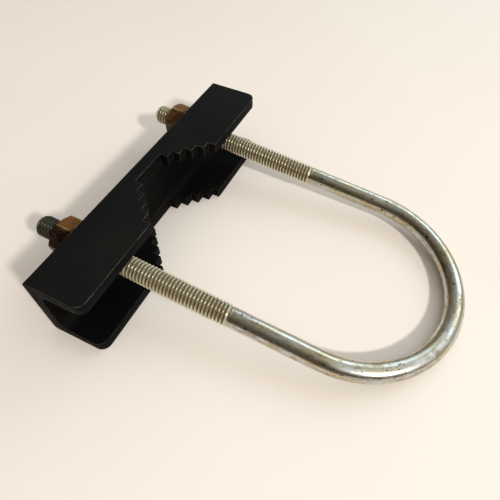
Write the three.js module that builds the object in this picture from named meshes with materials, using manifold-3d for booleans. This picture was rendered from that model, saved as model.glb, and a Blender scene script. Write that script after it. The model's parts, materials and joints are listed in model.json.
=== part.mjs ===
// U-bolt mast clamp: a round-rod U-bolt, a toothed channel saddle, and a nut, a spring washer and
// a plain washer on each leg. Millimetres.
// The clamp lies loose on a table: the saddle on one flange, the bow drooping until it touches.
// Origin: on the table, under the middle of the clamp's bounding box.
// +X points from the web toward the bow, +Y from the near leg to the far leg, +Z up.
import * as THREE from "three";
import { mergeVertices } from "three/addons/utils/BufferGeometryUtils.js";
import Module from "manifold-3d";

const wasm = await Module();
wasm.setup();

// Rod and thread: M6 coarse, rolled, so the plain shank is thinner than the thread's crests.
const THREAD_RADIUS = 3.0;
const SHANK_RADIUS = 2.65;
const THREAD_PITCH = 1.0;
const TIP_RADIUS = 2.25;
const TIP_LENGTH = 0.9;
const RUN_OUT = 1.5 * THREAD_PITCH;

// U-bolt: a pole up to 50 mm across fits between the legs.
const POLE_DIAMETER = 50;
const LEG_Y = POLE_DIAMETER / 2 + SHANK_RADIUS;
const THREAD_END_X = 40.5;
const BOW_CENTRE_X = 65.5;

// Saddle: sheet bent to a channel, flanges pointing at the bow.
const SADDLE_LENGTH = 86;
const SADDLE_HEIGHT = 22;
const SADDLE_DEPTH = 16;
const SHEET = 3.2;
const BEND_OUTER_RADIUS = 1.0;
const BEND_INNER_RADIUS = 3.4;
const FREE_CORNER_RADIUS = 2.5;

// Slots in the web, one for each leg, across the channel.
const SLOT_WIDTH = 7;
const SLOT_LENGTH = 16;

// Notch: a flat valley, then stairs out to the flange's free edge.
const VALLEY_X = 4.1;
const VALLEY_HALF_WIDTH = 5.9;
const STEP_COUNT = 5;
const STEP_WIDTH = 2.6;
const STEP_DEPTH = (SADDLE_DEPTH - VALLEY_X) / STEP_COUNT;

// How the loose bolt lies in the saddle: pushed along the slots and tipped about the web's middle.
const SIDE_PLAY = 4.0;
const PIVOT_X = SHEET / 2;
const DROOP = Math.asin((SADDLE_HEIGHT / 2 - SHANK_RADIUS) / (BOW_CENTRE_X + LEG_Y - PIVOT_X));

// Fasteners behind the web.
const SEAT_GAP = 0.15;
const FLAT_WASHER = { inner: 3.2, outer: 6.0, thickness: 1.6 };
const SPRING_WASHER = { inner: 3.15, outer: 5.9, thickness: 1.6, slot: 1.1, slantDegrees: 20 };
const NUT = { acrossFlats: 10, height: 5.0, bore: 3.08, mouth: 3.45, face: 4.75, chamferDegrees: 30 };

// The way one corner of each nut points, from +Y toward +Z.
const NUT_CORNER_DEGREES = 100;

// The legs: the far one is cut a little shorter behind the web.
const LEGS = [
  { name: "near", y: -LEG_Y, endX: -15.8 },
  { name: "far", y: LEG_Y, endX: -14.6 },
];

// How finely the round surfaces are divided.
const ROD_SIDES = 32;
const BOW_STEPS = 44;
const RING_SIDES = 48;
const CORNER_STEPS = 6;

// How far a cutting tool runs past the surface it cuts.
const OVERSHOOT = 5;

const FINISHES = {
  bright_zinc: { color: 0xb7b8b2, roughness: 0.32, metalness: 1.0 },
  black_paint: { color: 0x16181c, roughness: 0.45, metalness: 0.2 },
  golden_zinc: { color: 0x8f6420, roughness: 0.5, metalness: 0.8 },
  washer_zinc: { color: 0x9c9a90, roughness: 0.4, metalness: 0.9 },
};

function toSolid(geometry) {
  const clean = geometry.clone();
  clean.deleteAttribute("normal");
  clean.deleteAttribute("uv");
  const merged = mergeVertices(clean, 1e-4);
  const mesh = new wasm.Mesh({
    numProp: 3,
    vertProperties: new Float32Array(merged.attributes.position.array),
    triVerts: new Uint32Array(merged.index.array),
  });
  return new wasm.Manifold(mesh);
}

function toGeometry(solid) {
  const mesh = solid.getMesh();
  const geometry = new THREE.BufferGeometry();
  geometry.setAttribute("position", new THREE.BufferAttribute(mesh.vertProperties, 3));
  geometry.setIndex(new THREE.BufferAttribute(mesh.triVerts, 1));
  geometry.computeVertexNormals();
  return geometry;
}

// A solid of revolution about the X axis from [radius, x] points that start and end on the axis.
function turned(points, sides = RING_SIDES) {
  const outline = points.map(([radius, x]) => new THREE.Vector2(radius, x));
  const geometry = new THREE.LatheGeometry(outline, sides);
  geometry.rotateZ(-Math.PI / 2);
  return toSolid(geometry);
}

function extruded(outline, length) {
  const shape = new THREE.Shape(outline.map(([u, v]) => new THREE.Vector2(u, v)));
  return new THREE.ExtrudeGeometry(shape, { depth: length, bevelEnabled: false });
}

// A prism with an [x, y] outline, centred on z = 0.
function prismAlongZ(outline, length) {
  const geometry = extruded(outline, length);
  geometry.translate(0, 0, -length / 2);
  return toSolid(geometry);
}

// A prism with an [x, z] outline, centred on y = 0.
function prismAlongY(outline, length) {
  const geometry = extruded(outline, length);
  geometry.rotateX(Math.PI / 2);
  geometry.translate(0, length / 2, 0);
  return toSolid(geometry);
}

// A prism with a [y, z] outline, from x = 0 to x = length.
function prismAlongX(outline, length) {
  const geometry = extruded(outline, length);
  geometry.rotateX(Math.PI / 2);
  geometry.rotateZ(Math.PI / 2);
  return toSolid(geometry);
}

function cylinderAlongX(radius, from, to) {
  return turned([[0, from], [radius, from], [radius, to], [0, to]]);
}

// Points of an arc about (u, v), from one angle to the other, in degrees.
function arc(u, v, radius, from, to) {
  return Array.from({ length: CORNER_STEPS + 1 }, (_, i) => {
    const angle = THREE.MathUtils.degToRad(from + ((to - from) * i) / CORNER_STEPS);
    return [u + radius * Math.cos(angle), v + radius * Math.sin(angle)];
  });
}

// ---- U-bolt: rings of points along the bent centre line, joined into one skin.
function legStations({ y, endX }) {
  const profile = [
    [endX, TIP_RADIUS],
    [endX + TIP_LENGTH, THREAD_RADIUS],
    [THREAD_END_X, THREAD_RADIUS],
    [THREAD_END_X + RUN_OUT, SHANK_RADIUS],
  ];
  return profile.map(([x, radius]) => ({
    centre: new THREE.Vector3(x, y, 0),
    outward: new THREE.Vector3(0, Math.sign(y), 0),
    radius,
  }));
}

function bowStations() {
  const bowCentre = new THREE.Vector3(BOW_CENTRE_X, 0, 0);
  return Array.from({ length: BOW_STEPS + 1 }, (_, i) => {
    const angle = Math.PI * (i / BOW_STEPS - 0.5);
    const outward = new THREE.Vector3(Math.cos(angle), Math.sin(angle), 0);
    const centre = bowCentre.clone().addScaledVector(outward, LEG_Y);
    return { centre, outward, radius: SHANK_RADIUS };
  });
}

function ringPoints({ centre, outward, radius }) {
  return Array.from({ length: ROD_SIDES }, (_, side) => {
    const angle = (2 * Math.PI * side) / ROD_SIDES;
    const point = centre.clone().addScaledVector(outward, radius * Math.cos(angle));
    point.z += radius * Math.sin(angle);
    return point.toArray();
  });
}

function buildUBolt() {
  const [near, far] = LEGS;
  const stations = [...legStations(near), ...bowStations(), ...legStations(far).reverse()];
  const points = stations.flatMap(ringPoints);
  const firstCentre = points.push(stations[0].centre.toArray()) - 1;
  const lastCentre = points.push(stations.at(-1).centre.toArray()) - 1;
  const lastRing = (stations.length - 1) * ROD_SIDES;

  const faces = [];
  for (let side = 0; side < ROD_SIDES; side += 1) {
    const next = (side + 1) % ROD_SIDES;
    faces.push(firstCentre, side, next);
    faces.push(lastCentre, lastRing + next, lastRing + side);
    for (let ring = 0; ring < lastRing; ring += ROD_SIDES) {
      faces.push(ring + side, ring + ROD_SIDES + side, ring + ROD_SIDES + next);
      faces.push(ring + side, ring + ROD_SIDES + next, ring + next);
    }
  }
  const geometry = new THREE.BufferGeometry();
  geometry.setAttribute("position", new THREE.Float32BufferAttribute(points.flat(), 3));
  geometry.setIndex(faces);
  return toSolid(geometry);
}

// ---- Saddle: a C channel, trimmed to its stamped outline, with a slot for each leg.
function channelSection() {
  const half = SADDLE_HEIGHT / 2;
  const outer = BEND_OUTER_RADIUS;
  const inner = BEND_INNER_RADIUS;
  const filletX = SHEET + inner;
  const filletZ = half - SHEET - inner;
  return [
    [SADDLE_DEPTH, -half],
    [SADDLE_DEPTH, -half + SHEET],
    ...arc(filletX, -filletZ, inner, 270, 180),
    ...arc(filletX, filletZ, inner, 180, 90),
    [SADDLE_DEPTH, half - SHEET],
    [SADDLE_DEPTH, half],
    ...arc(outer, half - outer, outer, 90, 180),
    ...arc(outer, -half + outer, outer, 180, 270),
  ];
}

// The far half of the stamped outline, from the notch's valley to the saddle's end.
function halfOutline() {
  const end = SADDLE_LENGTH / 2;
  const corner = FREE_CORNER_RADIUS;
  const stairs = Array.from({ length: STEP_COUNT }, (_, step) => {
    const x = VALLEY_X + step * STEP_DEPTH;
    const y = VALLEY_HALF_WIDTH + step * STEP_WIDTH;
    return [[x, y], [x + STEP_DEPTH, y]];
  });
  return [
    ...stairs.flat(),
    ...arc(SADDLE_DEPTH - corner, end - corner, corner, 0, 90),
    [-OVERSHOOT, end],
  ];
}

function slotCutter() {
  const radius = SLOT_WIDTH / 2;
  const reach = (SLOT_LENGTH - SLOT_WIDTH) / 2;
  const outline = [...arc(reach, 0, radius, -90, 90), ...arc(-reach, 0, radius, 90, 270)];
  return prismAlongX(outline, SHEET + 2 * OVERSHOOT).translate([-OVERSHOOT, 0, 0]);
}

function buildSaddle() {
  const channel = prismAlongY(channelSection(), SADDLE_LENGTH + 2 * OVERSHOOT);
  const farHalf = halfOutline();
  const nearHalf = farHalf.map(([x, y]) => [x, -y]).reverse();
  const stamped = prismAlongZ([...nearHalf, ...farHalf], SADDLE_HEIGHT + 2 * OVERSHOOT);
  return LEGS.reduce(
    (saddle, { y }) => saddle.subtract(slotCutter().translate([0, y, 0])),
    channel.intersect(stamped),
  );
}

// ---- Fasteners, each built with its front face on x = 0 and its body toward -X.
function buildNut() {
  const { acrossFlats, height, bore, mouth, face, chamferDegrees } = NUT;
  const cornerRadius = acrossFlats / Math.sqrt(3);
  const hexagon = Array.from({ length: 6 }, (_, i) => {
    const angle = (i * Math.PI) / 3;
    return [cornerRadius * Math.cos(angle), cornerRadius * Math.sin(angle)];
  });
  const rim = cornerRadius * 1.1;
  const chamfer = (rim - face) * Math.tan(THREE.MathUtils.degToRad(chamferDegrees));
  const envelope = turned([
    [0, 0],
    [face, 0],
    [rim, chamfer],
    [rim, height - chamfer],
    [face, height],
    [0, height],
  ]);
  const cutter = turned([
    [0, -OVERSHOOT],
    [mouth + OVERSHOOT, -OVERSHOOT],
    [bore, mouth - bore],
    [bore, height - (mouth - bore)],
    [mouth + OVERSHOOT, height + OVERSHOOT],
    [0, height + OVERSHOOT],
  ]);
  const nut = prismAlongX(hexagon, height).intersect(envelope).subtract(cutter);
  return nut.translate([-height, 0, 0]);
}

function buildFlatWasher() {
  const { inner, outer, thickness } = FLAT_WASHER;
  const disc = cylinderAlongX(outer, -thickness, 0);
  return disc.subtract(cylinderAlongX(inner, -thickness - OVERSHOOT, OVERSHOOT));
}

function buildSpringWasher() {
  const { inner, outer, thickness, slot, slantDegrees } = SPRING_WASHER;
  const ring = cylinderAlongX(outer, -thickness, 0).subtract(
    cylinderAlongX(inner, -thickness - OVERSHOOT, OVERSHOOT),
  );
  const gap = new THREE.BoxGeometry(thickness + OVERSHOOT, slot, 2 * (outer - inner));
  gap.rotateZ(THREE.MathUtils.degToRad(slantDegrees));
  gap.translate(-thickness / 2, 0, (inner + outer) / 2);
  return ring.subtract(toSolid(gap));
}

// ---- Assembly
function named(name, solid, finish) {
  const mesh = new THREE.Mesh(toGeometry(solid), new THREE.MeshStandardMaterial(FINISHES[finish]));
  mesh.name = name;
  mesh.material.name = finish;
  return mesh;
}

// A tipped washer touches the web with its rim, so its middle stands off by the rim's lean.
const rimLean = FLAT_WASHER.outer * Math.sin(DROOP);
const flatWasherX = -rimLean - SEAT_GAP;
const springWasherX = flatWasherX - FLAT_WASHER.thickness - SEAT_GAP;
const nutX = springWasherX - SPRING_WASHER.thickness - SEAT_GAP;

// The bolt with all it carries, in the bolt's own axes: the legs run along X, web at x = 0.
const boltAndFasteners = new THREE.Group();
boltAndFasteners.add(named("u_bolt", buildUBolt(), "bright_zinc"));
for (const { name, y } of LEGS) {
  const flatWasher = named(`flat_washer_${name}`, buildFlatWasher(), "washer_zinc");
  const springWasher = named(`spring_washer_${name}`, buildSpringWasher(), "washer_zinc");
  const nut = named(`hex_nut_${name}`, buildNut(), "golden_zinc");
  flatWasher.position.set(flatWasherX, y, 0);
  springWasher.position.set(springWasherX, y, 0);
  nut.position.set(nutX, y, 0);
  nut.rotation.x = THREE.MathUtils.degToRad(NUT_CORNER_DEGREES);
  boltAndFasteners.add(flatWasher, springWasher, nut);
}
boltAndFasteners.position.x = -PIVOT_X;

// It tips about the middle of the web's thickness, and slides along the slots.
const looseBolt = new THREE.Group();
looseBolt.add(boltAndFasteners);
looseBolt.rotation.y = DROOP;
looseBolt.position.set(PIVOT_X, SIDE_PLAY, 0);

const clamp = new THREE.Group();
clamp.add(named("saddle", buildSaddle(), "black_paint"), looseBolt);

// Stands the clamp on the table, with the origin under the middle of its box.
const box = new THREE.Box3().setFromObject(clamp, true);
const middle = box.getCenter(new THREE.Vector3());
clamp.position.set(-middle.x, -middle.y, -box.min.z);

const group = new THREE.Group();
group.add(clamp);

export default group;
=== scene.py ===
"""U-bolt mast clamp lying loose on a pale table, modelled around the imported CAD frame.

Lengths are in millimetres until a mesh, a light or the camera is made, and metres from there on.
"""

import json
import math

import bmesh
import bpy
import numpy as np
from mathutils import Matrix, Quaternion, Vector


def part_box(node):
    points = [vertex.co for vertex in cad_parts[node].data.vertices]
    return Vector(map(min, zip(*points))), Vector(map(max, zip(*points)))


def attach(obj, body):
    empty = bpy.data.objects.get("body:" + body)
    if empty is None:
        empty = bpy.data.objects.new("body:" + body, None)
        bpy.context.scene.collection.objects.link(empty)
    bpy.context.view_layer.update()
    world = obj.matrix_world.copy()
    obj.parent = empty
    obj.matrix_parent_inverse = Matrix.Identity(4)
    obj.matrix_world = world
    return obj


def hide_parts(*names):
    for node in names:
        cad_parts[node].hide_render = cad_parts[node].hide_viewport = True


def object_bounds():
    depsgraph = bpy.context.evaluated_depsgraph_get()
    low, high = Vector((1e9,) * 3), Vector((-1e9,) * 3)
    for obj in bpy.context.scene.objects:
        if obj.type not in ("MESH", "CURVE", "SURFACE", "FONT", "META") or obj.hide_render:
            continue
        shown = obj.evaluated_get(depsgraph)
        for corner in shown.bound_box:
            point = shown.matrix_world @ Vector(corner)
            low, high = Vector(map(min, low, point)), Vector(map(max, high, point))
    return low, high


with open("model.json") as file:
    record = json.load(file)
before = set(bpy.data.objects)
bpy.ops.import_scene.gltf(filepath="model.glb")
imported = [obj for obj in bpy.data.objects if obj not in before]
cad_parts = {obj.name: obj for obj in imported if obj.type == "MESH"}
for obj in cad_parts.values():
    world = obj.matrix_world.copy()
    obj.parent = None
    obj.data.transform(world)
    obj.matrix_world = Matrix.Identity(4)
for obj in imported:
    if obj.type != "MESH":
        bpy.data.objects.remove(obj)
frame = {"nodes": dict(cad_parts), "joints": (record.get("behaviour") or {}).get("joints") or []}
cad_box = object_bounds()

MM = 0.001
TAU = 2 * math.pi

# ---- Driving dimensions, as in the CAD model.
THREAD_RADIUS = 3.0
SHANK_RADIUS = 2.65
THREAD_PITCH = 1.0
TIP_RADIUS = 2.25
TIP_LENGTH = 0.9
RUN_OUT = 1.5 * THREAD_PITCH
LEG_END_X = {"near": -15.8, "far": -14.6}
THREAD_END_X = 40.5
BOW_CENTRE_X = 65.5
SHEET = 3.2
SEAT_GAP = 0.15
FLAT_WASHER = {"inner": 3.2, "outer": 6.0, "thickness": 1.6}
SPRING_WASHER = {"inner": 3.15, "outer": 5.9, "thickness": 1.6, "slot": 1.1, "slant": 20.0}
NUT = {"across_flats": 10.0, "height": 5.0, "mouth": 3.45, "face": 4.75, "chamfer": 30.0}
NUT_CORNER_DEGREES = 100.0

# Fine shape that the CAD's plain solids leave out.
THREAD_DEPTH = 0.6 * THREAD_PITCH
CREST_SHARE = 0.14
FLANK_SHARE = 0.66
THREAD_CLEARANCE = 0.08
NUT_ROUNDING = 0.35
WASHER_ROUNDING = 0.18
SPRING_ROUNDING = 0.12
SPRING_LIFT = 0.06

# How far the saddle's sheared edges are rolled over: its flanges' outer rims, and all the others.
OUTER_ROLL = 0.5
INNER_ROLL = 0.2
RIM_TOLERANCE = 0.01
WELD_DISTANCE = 0.002
FLAT_WITHIN_DEGREES = 1.0
EDGE_OVER_DEGREES = 25.0

# Tones set to match the photo. The nuts' facets that face this way about the leg, from +Y toward +Z,
# are darkened as painted shade, and the near leg's stud is darker than the far one as painted shade.
SHADED_FACET_DEGREES = 213.0
SHADED_FACET_SPREAD = 2.5
NUT_FACET_SHADE = {"near": 1.0, "far": 0.6}
WORN_CORNER_FROM = 0.96
WORN_CORNER_FADE = 0.03
NEAR_STUD_PAINTED_SHADE = 0.88
PAINTED_SHADE_DEPTH_IN_NUT = 1.0
PAINTED_SHADE_FADE = 2.0

# The middle of the saddle web's back face, which the clamp is dimensioned from.
SADDLE_LOW, SADDLE_HIGH = (Vector(corner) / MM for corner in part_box("saddle"))
SADDLE_MIDDLE = (SADDLE_LOW + SADDLE_HIGH) / 2
WEB_BACK = Vector((SADDLE_LOW.x, SADDLE_MIDDLE.y, SADDLE_MIDDLE.z))

# The nuts' joints say where the legs lie and how far they droop.
JOINTS = {joint["name"]: joint for joint in frame["joints"]}
NUT_CENTRES = {side: Vector(JOINTS[f"{side}_nut_turn"]["pos_m"]) / MM for side in ("near", "far")}
LEG_AXIS = Vector(JOINTS["near_nut_turn"]["axis"]).normalized()
LEG_Y = (NUT_CENTRES["far"].y - NUT_CENTRES["near"].y) / 2
SIDE_PLAY = (NUT_CENTRES["far"].y + NUT_CENTRES["near"].y) / 2 - WEB_BACK.y
DROOP = math.asin(-LEG_AXIS.z)
PIVOT = Vector((SHEET / 2, 0, 0))
AS_IT_LIES = (
    Matrix.Translation(WEB_BACK + PIVOT + Vector((0, SIDE_PLAY, 0)))
    @ Matrix.Rotation(DROOP, 4, "Y")
    @ Matrix.Translation(-PIVOT)
)
SIDE_Y = {"near": -LEG_Y, "far": LEG_Y}

FLAT_WASHER_X = -FLAT_WASHER["outer"] * math.sin(DROOP) - SEAT_GAP
SPRING_WASHER_X = FLAT_WASHER_X - FLAT_WASHER["thickness"] - SEAT_GAP
NUT_X = SPRING_WASHER_X - SPRING_WASHER["thickness"] - SEAT_GAP

# ---- How finely the meshes are divided, and how sharp an edge has to be to look sharp.
ROD_SIDES = 48
RINGS_PER_PITCH = 12
BOW_RINGS = 120
STRAIGHT_RINGS = 14
NUT_SIDES = 120
WASHER_SIDES = 96
CORNER_STEPS = 4
ROLL_SEGMENTS = 3
SHARP_DEGREES = 35.0
NUT_SHARP_DEGREES = 20.0
SADDLE_SHARP_DEGREES = 40.0


# ---- Node helpers
def new_material(name):
    """A new material, its node tree and its shader."""
    material = bpy.data.materials.new(name)
    material.use_nodes = True
    return material, material.node_tree, material.node_tree.nodes["Principled BSDF"]


def feed(tree, socket, value):
    """Links a socket to an input, or sets the input to a plain value."""
    if isinstance(value, bpy.types.NodeSocket):
        tree.links.new(value, socket)
    else:
        socket.default_value = value


def add(tree, kind, inputs=None, **settings):
    """Adds a node with its settings and inputs."""
    node = tree.nodes.new(kind)
    for key, value in settings.items():
        setattr(node, key, value)
    for key, value in (inputs or {}).items():
        feed(tree, node.inputs[key], value)
    return node


def colour(red, green, blue):
    return (red, green, blue, 1.0)


def stretched(tree, vector, scale):
    return add(tree, "ShaderNodeMapping", {"Vector": vector, "Scale": scale}).outputs["Vector"]


def noise(tree, vector, scale, detail=3.0, roughness=0.5):
    inputs = {"Vector": vector, "Scale": scale, "Detail": detail, "Roughness": roughness}
    return add(tree, "ShaderNodeTexNoise", inputs).outputs["Fac"]


def remap(tree, value, low, high, to_low=0.0, to_high=1.0):
    inputs = {"Value": value, "From Min": low, "From Max": high, "To Min": to_low, "To Max": to_high}
    return add(tree, "ShaderNodeMapRange", inputs).outputs["Result"]


def blend(tree, factor, first, second):
    """Mixes two colours."""
    node = add(tree, "ShaderNodeMix", data_type="RGBA")
    feed(tree, node.inputs[0], factor)
    feed(tree, node.inputs[6], first)
    feed(tree, node.inputs[7], second)
    return node.outputs[2]


def layered(tree, ground, layers):
    """Lays colours over a ground colour, each by its own amount."""
    for amount, tone in layers:
        ground = blend(tree, amount, ground, tone)
    return ground


def between(tree, factor, first, second):
    """Mixes two numbers."""
    node = add(tree, "ShaderNodeMix", data_type="FLOAT")
    feed(tree, node.inputs[0], factor)
    feed(tree, node.inputs[2], first)
    feed(tree, node.inputs[3], second)
    return node.outputs[0]


def maths(tree, operation, first, second):
    node = add(tree, "ShaderNodeMath", operation=operation)
    feed(tree, node.inputs[0], first)
    feed(tree, node.inputs[1], second)
    return node.outputs[0]


def attribute(tree, name, output="Fac"):
    return add(tree, "ShaderNodeAttribute", attribute_name=name).outputs[output]


def object_space(tree):
    """Object coordinates in millimetres."""
    coords = add(tree, "ShaderNodeTexCoord").outputs["Object"]
    return stretched(tree, coords, (1 / MM, 1 / MM, 1 / MM))


def bump(tree, height, distance, strength=1.0):
    inputs = {"Height": height, "Distance": distance * MM, "Strength": strength}
    return add(tree, "ShaderNodeBump", inputs).outputs["Normal"]


# ---- Materials
def zinc_material():
    """Bright zinc on drawn rod, duller and dirtier in the rolled thread, and darkened on the near stud
    as painted shade.
    """
    material, tree, bsdf = new_material("bright_zinc")
    rod = attribute(tree, "rod_space", "Vector")
    groove = attribute(tree, "groove")
    threaded = attribute(tree, "threaded")

    streaks = noise(tree, stretched(tree, rod, (0.10, 1.8, 1.8)), 1.0, 5.0, 0.65)
    clouds = noise(tree, stretched(tree, rod, (0.11, 0.32, 0.32)), 1.0, 5.0, 0.62)
    blotches = noise(tree, stretched(tree, rod, (0.35, 0.7, 0.7)), 1.0, 4.0, 0.7)
    flecks = noise(tree, stretched(tree, rod, (0.9, 2.4, 2.4)), 1.0, 4.0, 0.75)
    spots = noise(tree, rod, 0.9, 2.0, 0.5)

    plain = layered(tree, colour(0.66, 0.67, 0.67), [
        (remap(tree, clouds, 0.42, 0.60), colour(0.57, 0.50, 0.33)),
        (remap(tree, streaks, 0.42, 0.70, 0.0, 0.6), colour(0.30, 0.27, 0.19)),
        (remap(tree, blotches, 0.52, 0.66, 0.0, 0.7), colour(0.26, 0.195, 0.10)),
        (remap(tree, flecks, 0.54, 0.66, 0.0, 0.5), colour(0.20, 0.165, 0.10)),
        (remap(tree, flecks, 0.44, 0.34, 0.0, 0.45), colour(0.80, 0.79, 0.74)),
        (remap(tree, spots, 0.665, 0.70, 0.0, 0.9), colour(0.06, 0.045, 0.03)),
    ])
    thread = layered(tree, colour(0.80, 0.745, 0.58), [
        (remap(tree, clouds, 0.4, 0.7), colour(0.65, 0.565, 0.38)),
        (remap(tree, groove, 0.25, 0.95), colour(0.19, 0.152, 0.078)),
        # painted shade that darkens the near stud
        (attribute(tree, "painted_stud_shade"), colour(0.038, 0.040, 0.032)),
    ])
    feed(tree, bsdf.inputs["Base Color"], blend(tree, threaded, plain, thread))

    shine = remap(tree, streaks, 0.3, 0.75, 0.22, 0.38)
    dull = remap(tree, groove, 0.0, 1.0, 0.36, 0.7)
    feed(tree, bsdf.inputs["Roughness"], between(tree, threaded, shine, dull))
    feed(tree, bsdf.inputs["Metallic"], remap(tree, groove, 0.4, 1.0, 1.0, 0.55))
    feed(tree, bsdf.inputs["Normal"], bump(tree, streaks, 0.02, 0.5))
    return material


def paint_material():
    """Satin black paint on pressed steel: paler on top as painted light, darker elsewhere as painted
    shade, worn on the rolled edges.
    """
    material, tree, bsdf = new_material("black_paint")
    place = object_space(tree)
    peel = noise(tree, place, 1.6, 3.0, 0.55)
    clouds = noise(tree, place, 0.07, 3.0, 0.5)
    dust = noise(tree, place, 2.8, 2.0, 0.7)
    thin = remap(tree, noise(tree, place, 0.35, 4.0, 0.7), 0.38, 0.62, 0.12, 1.0)
    worn = maths(tree, "MULTIPLY", attribute(tree, "edge"), thin)

    patches = remap(tree, clouds, 0.35, 0.65)
    # A darker black as painted shade, and a paler one on the top faces as painted light.
    black_in_painted_shade = blend(tree, patches, colour(0.0016, 0.0018, 0.0022), colour(0.0026, 0.0024, 0.0022))
    black_in_painted_light = blend(tree, patches, colour(0.0058, 0.0068, 0.0088), colour(0.0088, 0.0086, 0.0078))
    top_light_share = attribute(tree, "painted_top_light")
    paint = layered(tree, black_in_painted_shade, [
        (top_light_share, black_in_painted_light),
        (remap(tree, dust, 0.66, 0.8, 0.0, 0.30), colour(0.09, 0.085, 0.08)),
        (worn, colour(0.14, 0.126, 0.10)),
    ])
    feed(tree, bsdf.inputs["Base Color"], paint)

    satin = remap(tree, clouds, 0.3, 0.7, 0.36, 0.5)
    duller = remap(tree, top_light_share, 0.0, 1.0, 0.2, 0.0)
    feed(tree, bsdf.inputs["Roughness"], maths(tree, "ADD", satin, duller))
    bsdf.inputs["Specular IOR Level"].default_value = 0.05
    feed(tree, bsdf.inputs["Normal"], bump(tree, peel, 0.03, 0.5))
    return material


def golden_material():
    """Yellow zinc over steel, streaked by rust, and blackened on the facets of one side as painted
    shade.
    """
    material, tree, bsdf = new_material("golden_zinc")
    place = object_space(tree)
    patches = noise(tree, place, 0.42, 5.0, 0.62)
    streaks = noise(tree, stretched(tree, place, (0.35, 1.5, 1.5)), 1.0, 4.0, 0.65)
    grain = noise(tree, place, 3.2, 3.0, 0.6)
    rust = remap(tree, streaks, 0.46, 0.62)
    # Painted shade on the facets of one side, made patchy by the noise.
    stained = maths(tree, "ADD", attribute(tree, "stain"), maths(tree, "MULTIPLY", patches, 0.5))
    patchy_facet_shade = remap(tree, stained, 0.45, 1.05, 0.0, 0.93)

    light_grain = remap(tree, grain, 0.35, 0.7)
    dark_grain = remap(tree, grain, 0.4, 0.65)
    gold = blend(tree, light_grain, colour(0.27, 0.145, 0.035), colour(0.22, 0.085, 0.016))
    brown = blend(tree, dark_grain, colour(0.20, 0.050, 0.012), colour(0.085, 0.024, 0.008))
    zinc = layered(tree, gold, [
        (rust, brown),
        (maths(tree, "MULTIPLY", attribute(tree, "edge"), 0.7), colour(0.72, 0.56, 0.25)),
        (patchy_facet_shade, colour(0.020, 0.009, 0.005)),
    ])
    feed(tree, bsdf.inputs["Base Color"], zinc)
    feed(tree, bsdf.inputs["Metallic"], remap(tree, rust, 0.0, 1.0, 0.8, 0.1))
    feed(tree, bsdf.inputs["Roughness"], remap(tree, rust, 0.0, 1.0, 0.34, 0.72))
    feed(tree, bsdf.inputs["Normal"], bump(tree, patches, 0.08, 0.6))
    return material


def washer_material():
    """Dull zinc with brown staining."""
    material, tree, bsdf = new_material("washer_zinc")
    place = object_space(tree)
    stain = noise(tree, place, 0.5, 4.0, 0.6)
    grain = noise(tree, place, 4.0, 2.0, 0.5)
    zinc = layered(tree, colour(0.46, 0.45, 0.42), [
        (remap(tree, grain, 0.35, 0.65), colour(0.36, 0.34, 0.30)),
        (remap(tree, stain, 0.5, 0.66, 0.0, 0.8), colour(0.17, 0.11, 0.05)),
    ])
    feed(tree, bsdf.inputs["Base Color"], zinc)
    bsdf.inputs["Metallic"].default_value = 0.9
    feed(tree, bsdf.inputs["Roughness"], remap(tree, stain, 0.3, 0.7, 0.36, 0.6))
    feed(tree, bsdf.inputs["Normal"], bump(tree, grain, 0.02, 0.5))
    return material


def paper_material():
    """Warm white paper on the table."""
    material, tree, bsdf = new_material("paper")
    place = object_space(tree)
    shade = noise(tree, place, 0.012, 2.0, 0.4)
    shade = remap(tree, shade, 0.3, 0.7)
    tint = blend(tree, shade, colour(0.82, 0.765, 0.695), colour(0.84, 0.785, 0.72))
    feed(tree, bsdf.inputs["Base Color"], tint)
    bsdf.inputs["Roughness"].default_value = 0.7
    bsdf.inputs["Specular IOR Level"].default_value = 0.2
    return material


# ---- Mesh helpers
def loft(rings, wrap=False):
    """Points and faces of a skin over rings of points: a closed loop of rings, or capped ends."""
    count, sides = rings.shape[:2]
    points = rings.reshape(-1, 3)
    index = np.arange(count * sides).reshape(count, sides)
    here = index if wrap else index[:-1]
    after = np.roll(index, -1, axis=0) if wrap else index[1:]
    quads = np.stack([here, after, np.roll(after, -1, axis=1), np.roll(here, -1, axis=1)], axis=-1)
    faces = quads.reshape(-1, 4).tolist()
    if not wrap:
        faces.append(index[0].tolist())
        faces.append(index[-1][::-1].tolist())
    return points, faces


def make_piece(name, points, faces, material, sharp_degrees=SHARP_DEGREES):
    """A smooth-shaded object from points in millimetres, with its sharp edges kept sharp."""
    mesh = bpy.data.meshes.new(name)
    mesh.from_pydata((np.asarray(points) * MM).tolist(), [], faces)
    tidy = bmesh.new()
    tidy.from_mesh(mesh)
    bmesh.ops.recalc_face_normals(tidy, faces=tidy.faces)
    tidy.to_mesh(mesh)
    tidy.free()
    mesh.shade_smooth()
    mesh.set_sharp_from_angle(angle=math.radians(sharp_degrees))
    mesh.materials.append(material)
    piece = bpy.data.objects.new(name, mesh)
    bpy.context.scene.collection.objects.link(piece)
    return piece


def assign(piece, body, node):
    """Puts a piece on its CAD body and in place of its CAD node."""
    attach(piece, body)
    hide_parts(node)


def laid(points):
    """Moves points from the bolt's own axes to where the bolt lies."""
    turn = np.array(AS_IT_LIES.to_3x3())
    return points @ turn.T + np.array(AS_IT_LIES.translation)


def around(x, radius, angle, y):
    """Points at a radius and an angle about a leg, the angle from +Y toward +Z."""
    x, radius, angle = np.broadcast_arrays(x, radius, angle)
    return np.stack([x, y + radius * np.cos(angle), radius * np.sin(angle)], axis=-1)


def store(piece, name, values, kind="FLOAT"):
    """Gives every point of a piece a value that its material reads."""
    data = piece.data.attributes.new(name, kind, "POINT").data
    data.foreach_set("value" if kind == "FLOAT" else "vector", np.asarray(values, np.float32).ravel())


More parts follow.
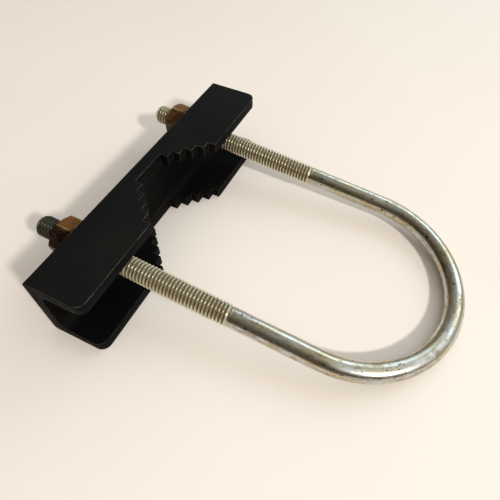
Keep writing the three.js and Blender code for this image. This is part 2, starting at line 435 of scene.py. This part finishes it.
# ---- Thread
def groove_depth(x, angle):
    """How deep a point is in the right-hand thread: 0 on the crest, 1 in the root."""
    turns = x / THREAD_PITCH - angle / TAU
    off_crest = np.abs(turns - np.floor(turns) - 0.5) * 2
    flank = np.clip((off_crest - CREST_SHARE) / FLANK_SHARE, 0, 1)
    return flank * flank * (3 - 2 * flank)


def thread_radius(x, angle):
    """Distance from the leg's axis to the thread's surface."""
    return THREAD_RADIUS - THREAD_DEPTH * groove_depth(x, angle)


def smooth_step(value):
    value = np.clip(value, 0, 1)
    return value * value * (3 - 2 * value)


# ---- U-bolt
def leg_rings(side, angles):
    """Rings of one leg from its tip to the end of its thread, with groove and thread amounts."""
    length = THREAD_END_X + RUN_OUT - LEG_END_X[side]
    count = round(length / THREAD_PITCH * RINGS_PER_PITCH) + 1
    x = np.linspace(LEG_END_X[side], THREAD_END_X + RUN_OUT, count)[:, None]
    groove = groove_depth(x, angles)
    fade = smooth_step((x - THREAD_END_X) / RUN_OUT)
    radius = thread_radius(x, angles) * (1 - fade) + SHANK_RADIUS * fade
    cone = TIP_RADIUS + (x - LEG_END_X[side]) * (THREAD_RADIUS - TIP_RADIUS) / TIP_LENGTH
    radius = np.minimum(radius, cone)
    threaded = np.broadcast_to(1 - fade, radius.shape)
    return around(x, radius, angles, SIDE_Y[side]), groove * (1 - fade), threaded


def bow_rings(angles):
    """Rings of the plain rod from the near leg's thread, round the bow, to the far leg's."""
    straight = np.linspace(THREAD_END_X + RUN_OUT, BOW_CENTRE_X, STRAIGHT_RINGS)[1:-1]
    bend = np.linspace(-math.pi / 2, math.pi / 2, BOW_RINGS + 1)
    stations = [(x, -LEG_Y, -math.pi / 2) for x in straight]
    stations += [(BOW_CENTRE_X + LEG_Y * math.cos(a), LEG_Y * math.sin(a), a) for a in bend]
    stations += [(x, LEG_Y, math.pi / 2) for x in straight[::-1]]
    rings = []
    for x, y, heading in stations:
        outward = np.array([math.cos(heading), math.sin(heading), 0])
        reach = SHANK_RADIUS * np.stack([np.cos(angles), np.sin(angles)], axis=-1)
        rings.append(np.array([x, y, 0]) + reach[:, :1] * outward + reach[:, 1:] * np.array([0, 0, 1]))
    return np.array(rings)


def tip_rings(ring, side):
    """Rings that close a leg's tip: a rounded rim and a slightly hollow end face."""
    centre = np.array([LEG_END_X[side], SIDE_Y[side], 0])
    shares_and_dips = ((0.04, 0.10), (0.35, 0.08), (0.62, 0.02), (0.86, 0.0))
    return np.array([centre + (ring - centre) * share + (dip, 0, 0) for share, dip in shares_and_dips])


def build_u_bolt(material):
    """One skin over both legs and the bow, with what its material reads along it."""
    outward = np.arange(ROD_SIDES) * TAU / ROD_SIDES
    near, near_groove, near_threaded = leg_rings("near", math.pi - outward)
    far, far_groove, far_threaded = leg_rings("far", outward)
    bow = bow_rings(outward)
    near_tip = tip_rings(near[0], "near")
    far_tip = tip_rings(far[0], "far")
    rings = np.concatenate([near_tip, near, bow, far[::-1], far_tip[::-1]])

    centres = rings.mean(axis=1)
    steps = np.linalg.norm(np.diff(centres, axis=0), axis=1)
    along = np.concatenate([[0], np.cumsum(steps)])
    points, faces = loft(rings)
    piece = make_piece("u_bolt_rod", laid(points), faces, material)

    def all_rings(near_values, far_values):
        cap = np.zeros((len(near_tip), ROD_SIDES))
        plain = np.zeros(bow.shape[:2])
        return np.concatenate([cap, near_values, plain, far_values[::-1], cap])

    store(piece, "groove", all_rings(near_groove, far_groove))
    store(piece, "threaded", all_rings(near_threaded, far_threaded))

    # The near stud is darkened as painted shade. At rest the change hides in its nut; it shows once the
    # bolt is drawn in.
    end_in_nut = NUT_X - PAINTED_SHADE_DEPTH_IN_NUT - LEG_END_X["near"]
    painted_stud_shade = smooth_step((end_in_nut - along) / PAINTED_SHADE_FADE) * NEAR_STUD_PAINTED_SHADE
    store(piece, "painted_stud_shade", np.repeat(painted_stud_shade, ROD_SIDES))

    space = np.stack([
        np.repeat(along, ROD_SIDES),
        np.tile(SHANK_RADIUS * np.cos(outward), len(rings)),
        np.tile(SHANK_RADIUS * np.sin(outward), len(rings)),
    ], axis=-1)
    store(piece, "rod_space", space, "FLOAT_VECTOR")
    assign(piece, "bolt", "u_bolt")


# ---- Saddle
def channel_mesh():
    """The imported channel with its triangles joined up, each sharp edge marked with its roll."""
    shape = bmesh.new()
    shape.from_mesh(frame["nodes"]["saddle"].data)
    bmesh.ops.remove_doubles(shape, verts=shape.verts, dist=WELD_DISTANCE * MM)
    bmesh.ops.dissolve_limit(
        shape, angle_limit=math.radians(FLAT_WITHIN_DEGREES), verts=shape.verts, edges=shape.edges
    )
    weight = shape.edges.layers.float.new("bevel_weight_edge")
    outer_height = (SADDLE_HIGH.z - SADDLE_LOW.z) / 2 * MM - RIM_TOLERANCE * MM
    for edge in shape.edges:
        if edge.calc_face_angle(0) < math.radians(EDGE_OVER_DEGREES):
            continue
        heights = [abs(vert.co.z - WEB_BACK.z * MM) for vert in edge.verts]
        edge[weight] = 1.0 if min(heights) > outer_height else INNER_ROLL / OUTER_ROLL
    mesh = bpy.data.meshes.new("saddle_channel")
    shape.to_mesh(mesh)
    shape.free()
    return mesh


def roll_edges(piece):
    """Rolls the marked edges over, and puts the rolled faces in the second material slot."""
    bevel = piece.modifiers.new("rolled_edges", "BEVEL")
    bevel.material = 1
    bevel.limit_method = "WEIGHT"
    bevel.width = OUTER_ROLL * MM
    bevel.segments = ROLL_SEGMENTS
    bevel.use_clamp_overlap = True
    bevel.harden_normals = False
    bpy.context.view_layer.update()
    evaluated = piece.evaluated_get(bpy.context.evaluated_depsgraph_get())
    rolled = bpy.data.meshes.new_from_object(evaluated)
    piece.modifiers.clear()
    piece.data = rolled


def mark_faces(mesh):
    """Marks the rolled faces, and the top ones for painted light, and removes the second slot."""
    on_edge = [polygon.material_index for polygon in mesh.polygons]
    mesh.attributes.new("edge", "FLOAT", "FACE").data.foreach_set("value", on_edge)
    mesh.polygons.foreach_set("material_index", [0] * len(on_edge))
    mesh.materials.pop(index=1)
    top = (SADDLE_HIGH.z - SHEET) * MM
    # Top faces get painted light by how far they face up.
    facing_up = [max(polygon.normal.z, 0) if polygon.center.z > top else 0 for polygon in mesh.polygons]
    mesh.attributes.new("painted_top_light", "FLOAT", "FACE").data.foreach_set("value", facing_up)


def build_saddle(material):
    """The channel with its edges rolled over, as shearing leaves them."""
    mesh = channel_mesh()
    mesh.materials.append(material)
    mesh.materials.append(material)
    mesh.shade_smooth()
    piece = bpy.data.objects.new("saddle_channel", mesh)
    bpy.context.scene.collection.objects.link(piece)
    roll_edges(piece)
    mark_faces(piece.data)
    piece.data.shade_smooth()
    piece.data.set_sharp_from_angle(angle=math.radians(SADDLE_SHARP_DEGREES))
    assign(piece, "saddle_and_washers", "saddle")


# ---- Fasteners
def hexagon_radius(angle, corner_degrees):
    """Distance from the axis to the side of a hexagon with slightly rounded corners."""
    apothem = NUT["across_flats"] / 2
    off_corner = (angle - math.radians(corner_degrees)) % (TAU / 6)
    off_flat = np.abs(off_corner - TAU / 12)
    flat = apothem / np.cos(off_flat)
    corner_centre = (apothem - NUT_ROUNDING) / math.cos(TAU / 12)
    off = TAU / 12 - off_flat
    round_corner = corner_centre * np.cos(off) + np.sqrt(
        np.maximum(NUT_ROUNDING**2 - (corner_centre * np.sin(off)) ** 2, 0)
    )
    on_corner = corner_centre * np.sin(off) < NUT_ROUNDING / 2
    return np.where(on_corner, np.minimum(round_corner, flat), flat)


def nut_profile(angles):
    """Stations of (x, radius) from the nut's front, over its outside and back through its thread."""
    front, back = NUT_X, NUT_X - NUT["height"]
    mouth = np.full(NUT_SIDES, NUT["mouth"])
    face = np.full(NUT_SIDES, NUT["face"])
    edge = hexagon_radius(angles, NUT_CORNER_DEGREES)
    chamfer = (edge - NUT["face"]) * math.tan(math.radians(NUT["chamfer"]))
    profile = [(front, mouth), (front, face), (front - chamfer, edge)]
    profile += [(back + chamfer, edge), (back, face), (back, mouth)]
    count = round(NUT["height"] / THREAD_PITCH * RINGS_PER_PITCH) + 1
    for x in np.linspace(back, front, count)[1:-1]:
        thread = thread_radius(x, angles) + THREAD_CLEARANCE
        countersink = NUT["mouth"] - min(x - back, front - x)
        profile.append((x, np.maximum(thread, countersink)))
    return profile


def facet_painted_shade(angles):
    """How dark the painted shade on the facet at each angle is: facets toward the shaded side are
    darkest.
    """
    first_corner = math.radians(NUT_CORNER_DEGREES)
    facet = np.floor((angles - first_corner) / (TAU / 6))
    middle = (facet + 0.5) * TAU / 6 + first_corner
    return np.clip(0.5 + SHADED_FACET_SPREAD * np.cos(middle - math.radians(SHADED_FACET_DEGREES)), 0, 1)


def build_nut(side, material):
    """A hexagon nut, chamfered at both ends, with a countersunk thread that meshes with the leg's."""
    angles = np.arange(NUT_SIDES) * TAU / NUT_SIDES + math.radians(NUT_CORNER_DEGREES)
    rings = np.array([around(x, radius, angles, SIDE_Y[side]) for x, radius in nut_profile(angles)])
    points, faces = loft(rings, wrap=True)
    piece = make_piece(f"hex_nut_{side}_body", laid(points), faces, material, NUT_SHARP_DEGREES)
    corner_reach = NUT["across_flats"] / 2 / math.cos(TAU / 12)
    reach = np.hypot(rings[..., 1] - SIDE_Y[side], rings[..., 2])
    store(piece, "edge", np.clip((reach / corner_reach - WORN_CORNER_FROM) / WORN_CORNER_FADE, 0, 1))
    # Darkens the facets on one side as painted shade.
    store(piece, "stain", np.tile(facet_painted_shade(angles) * NUT_FACET_SHADE[side], len(rings)))
    assign(piece, f"{side}_nut", f"hex_nut_{side}")


def rounded_section(depth, inner, outer, rounding):
    """A closed loop of (x, radius) round a washer's section, its corners rounded."""
    corners = [
        (-rounding, outer - rounding, 0),
        (-depth + rounding, outer - rounding, 90),
        (-depth + rounding, inner + rounding, 180),
        (-rounding, inner + rounding, 270),
    ]
    loop = []
    for x, radius, start in corners:
        for step in range(CORNER_STEPS):
            turn = math.radians(start + 90 / (CORNER_STEPS - 1) * step)
            loop.append((x + rounding * math.cos(turn), radius + rounding * math.sin(turn)))
    return loop


def build_flat_washer(side, material):
    """A plain stamped ring."""
    size = FLAT_WASHER
    angles = np.arange(WASHER_SIDES) * TAU / WASHER_SIDES
    section = rounded_section(size["thickness"], size["inner"], size["outer"], WASHER_ROUNDING)
    rings = np.array([around(FLAT_WASHER_X + x, radius, angles, SIDE_Y[side]) for x, radius in section])
    points, faces = loft(rings, wrap=True)
    piece = make_piece(f"flat_washer_{side}_disc", laid(points), faces, material)
    assign(piece, "saddle_and_washers", f"flat_washer_{side}")


def build_spring_washer(side, material):
    """A ring of flat wire cut on the slant, its ends sprung slightly apart."""
    size = SPRING_WASHER
    middle = (size["inner"] + size["outer"]) / 2
    section = rounded_section(size["thickness"], size["inner"], size["outer"], SPRING_ROUNDING)
    x, radius = np.array(section).T
    half_gap = size["slot"] / 2 / middle
    start, end = TAU / 4 + half_gap, TAU / 4 + TAU - half_gap
    slant = math.tan(math.radians(size["slant"]))
    rings = []
    for angle in np.linspace(start, end, WASHER_SIDES):
        lift = SPRING_LIFT * ((angle - start) / (end - start) * 2 - 1)
        lean = -slant * (x + size["thickness"] / 2) / middle
        rings.append(around(SPRING_WASHER_X + x + lift, radius, angle + lean, SIDE_Y[side]))
    points, faces = loft(np.array(rings))
    piece = make_piece(f"spring_washer_{side}_ring", laid(points), faces, material)
    assign(piece, "saddle_and_washers", f"spring_washer_{side}")


# ---- Stage: millimetres and degrees, in the frame of the CAD model
CAMERA_PLACE = Vector((27.80, -66.77, 105.09))
CAMERA_AIM = Vector((-4.32, 7.43, 0.0))
CAMERA_ROLL = 2.23
CAMERA_LENS = 31.27
CAMERA_SHIFT = (-0.0226, -0.0259)
LIGHTS = {
    "sun": {
        "direction": (1.06, -0.485, 1.0), "distance": 800, "size": (60, 60),
        "power": 4.0, "tint": (1.0, 0.97, 0.93),
    },
    "window": {
        "direction": (0.31, 0.76, 0.57), "distance": 1000, "size": (1000, 520),
        "power": 3.7, "tint": (0.74, 0.90, 1.0),
    },
}
TABLE_REACH = 2000

# The room that lights the table and the clamp, and the darker one with a bright patch that a
# shiny surface mirrors. They are kept apart to match the photo's reflections.
OPEN_SIDE = (0.45, 0.45, 0.75)
MIRRORED_SIDE = (0.25, 0.75, 0.60)
GLOW_SIDE = (0.70, 0.15, 0.80)
ROOM_DARK = colour(0.16, 0.14, 0.12)
ROOM_BRIGHT = colour(0.80, 0.735, 0.68)
MIRRORED_DARK = colour(0.055, 0.045, 0.024)
MIRRORED_BRIGHT = colour(0.27, 0.245, 0.19)
MIRRORED_GLOW = colour(0.85, 0.85, 0.80)


def build_camera():
    """The camera at the photograph's place, with its lens, roll and framing."""
    data = bpy.data.cameras.new("camera")
    data.sensor_width = 36.0
    data.lens = CAMERA_LENS
    data.shift_x, data.shift_y = CAMERA_SHIFT
    data.clip_start = 0.005
    camera = bpy.data.objects.new("camera", data)
    camera.location = CAMERA_PLACE * MM
    aim = (CAMERA_AIM - CAMERA_PLACE).to_track_quat("-Z", "Y")
    camera.rotation_mode = "QUATERNION"
    camera.rotation_quaternion = aim @ Quaternion((0, 0, 1), math.radians(CAMERA_ROLL))
    bpy.context.scene.collection.objects.link(camera)
    bpy.context.scene.camera = camera


def build_light(name, direction, distance, size, power, tint):
    """A rectangular light that shines at the clamp from a direction."""
    data = bpy.data.lights.new(name, "AREA")
    data.shape = "RECTANGLE"
    data.size = size[0] * MM
    data.size_y = size[1] * MM
    data.energy = power
    data.color = tint
    light = bpy.data.objects.new(name, data)
    light.location = Vector(direction).normalized() * distance * MM
    light.rotation_euler = Vector(direction).to_track_quat("Z", "Y").to_euler()
    light.visible_camera = False
    bpy.context.scene.collection.objects.link(light)


def facing(tree, direction, side):
    """How far a direction points toward a side of the room: 1 straight at it, -1 straight away."""
    dot = add(tree, "ShaderNodeVectorMath", operation="DOT_PRODUCT")
    feed(tree, dot.inputs[0], direction)
    feed(tree, dot.inputs[1], Vector(side).normalized())
    return dot.outputs["Value"]


def build_room():
    """A pale room, brightest toward its open side, and dimmer where a shiny surface mirrors it."""
    world = bpy.data.worlds.new("room")
    world.use_nodes = True
    tree = world.node_tree
    direction = add(tree, "ShaderNodeTexCoord").outputs["Generated"]
    lit_share = remap(tree, facing(tree, direction, OPEN_SIDE), -0.35, 0.85)
    lit = blend(tree, lit_share, ROOM_DARK, ROOM_BRIGHT)
    seen_share = remap(tree, facing(tree, direction, MIRRORED_SIDE), 0.0, 0.7)
    seen = blend(tree, seen_share, MIRRORED_DARK, MIRRORED_BRIGHT)
    glow_share = remap(tree, facing(tree, direction, GLOW_SIDE), 0.76, 0.94)
    seen = blend(tree, glow_share, seen, MIRRORED_GLOW)
    mirrored = add(tree, "ShaderNodeLightPath").outputs["Is Glossy Ray"]
    feed(tree, tree.nodes["Background"].inputs["Color"], blend(tree, mirrored, lit, seen))
    bpy.context.scene.world = world


def build_table():
    """The pale table top that the clamp lies on."""
    reach = TABLE_REACH * MM
    height = cad_box[0][2]
    corners = [(-reach, -reach), (reach, -reach), (reach, reach), (-reach, reach)]
    mesh = bpy.data.meshes.new("table")
    mesh.from_pydata([(x, y, height) for x, y in corners], [], [(0, 1, 2, 3)])
    mesh.materials.append(paper_material())
    table = bpy.data.objects.new("table", mesh)
    bpy.context.scene.collection.objects.link(table)


def build_stage():
    """Camera, table, room and lights, seen through the plain Standard view transform."""
    build_camera()
    build_table()
    build_room()
    for name, light in LIGHTS.items():
        build_light(name, **light)
    bpy.context.scene.view_settings.view_transform = "Standard"


build_stage()
washer_zinc = washer_material()
golden_zinc = golden_material()
build_u_bolt(zinc_material())
build_saddle(paint_material())
for leg in ("near", "far"):
    build_flat_washer(leg, washer_zinc)
    build_spring_washer(leg, washer_zinc)
    build_nut(leg, golden_zinc)
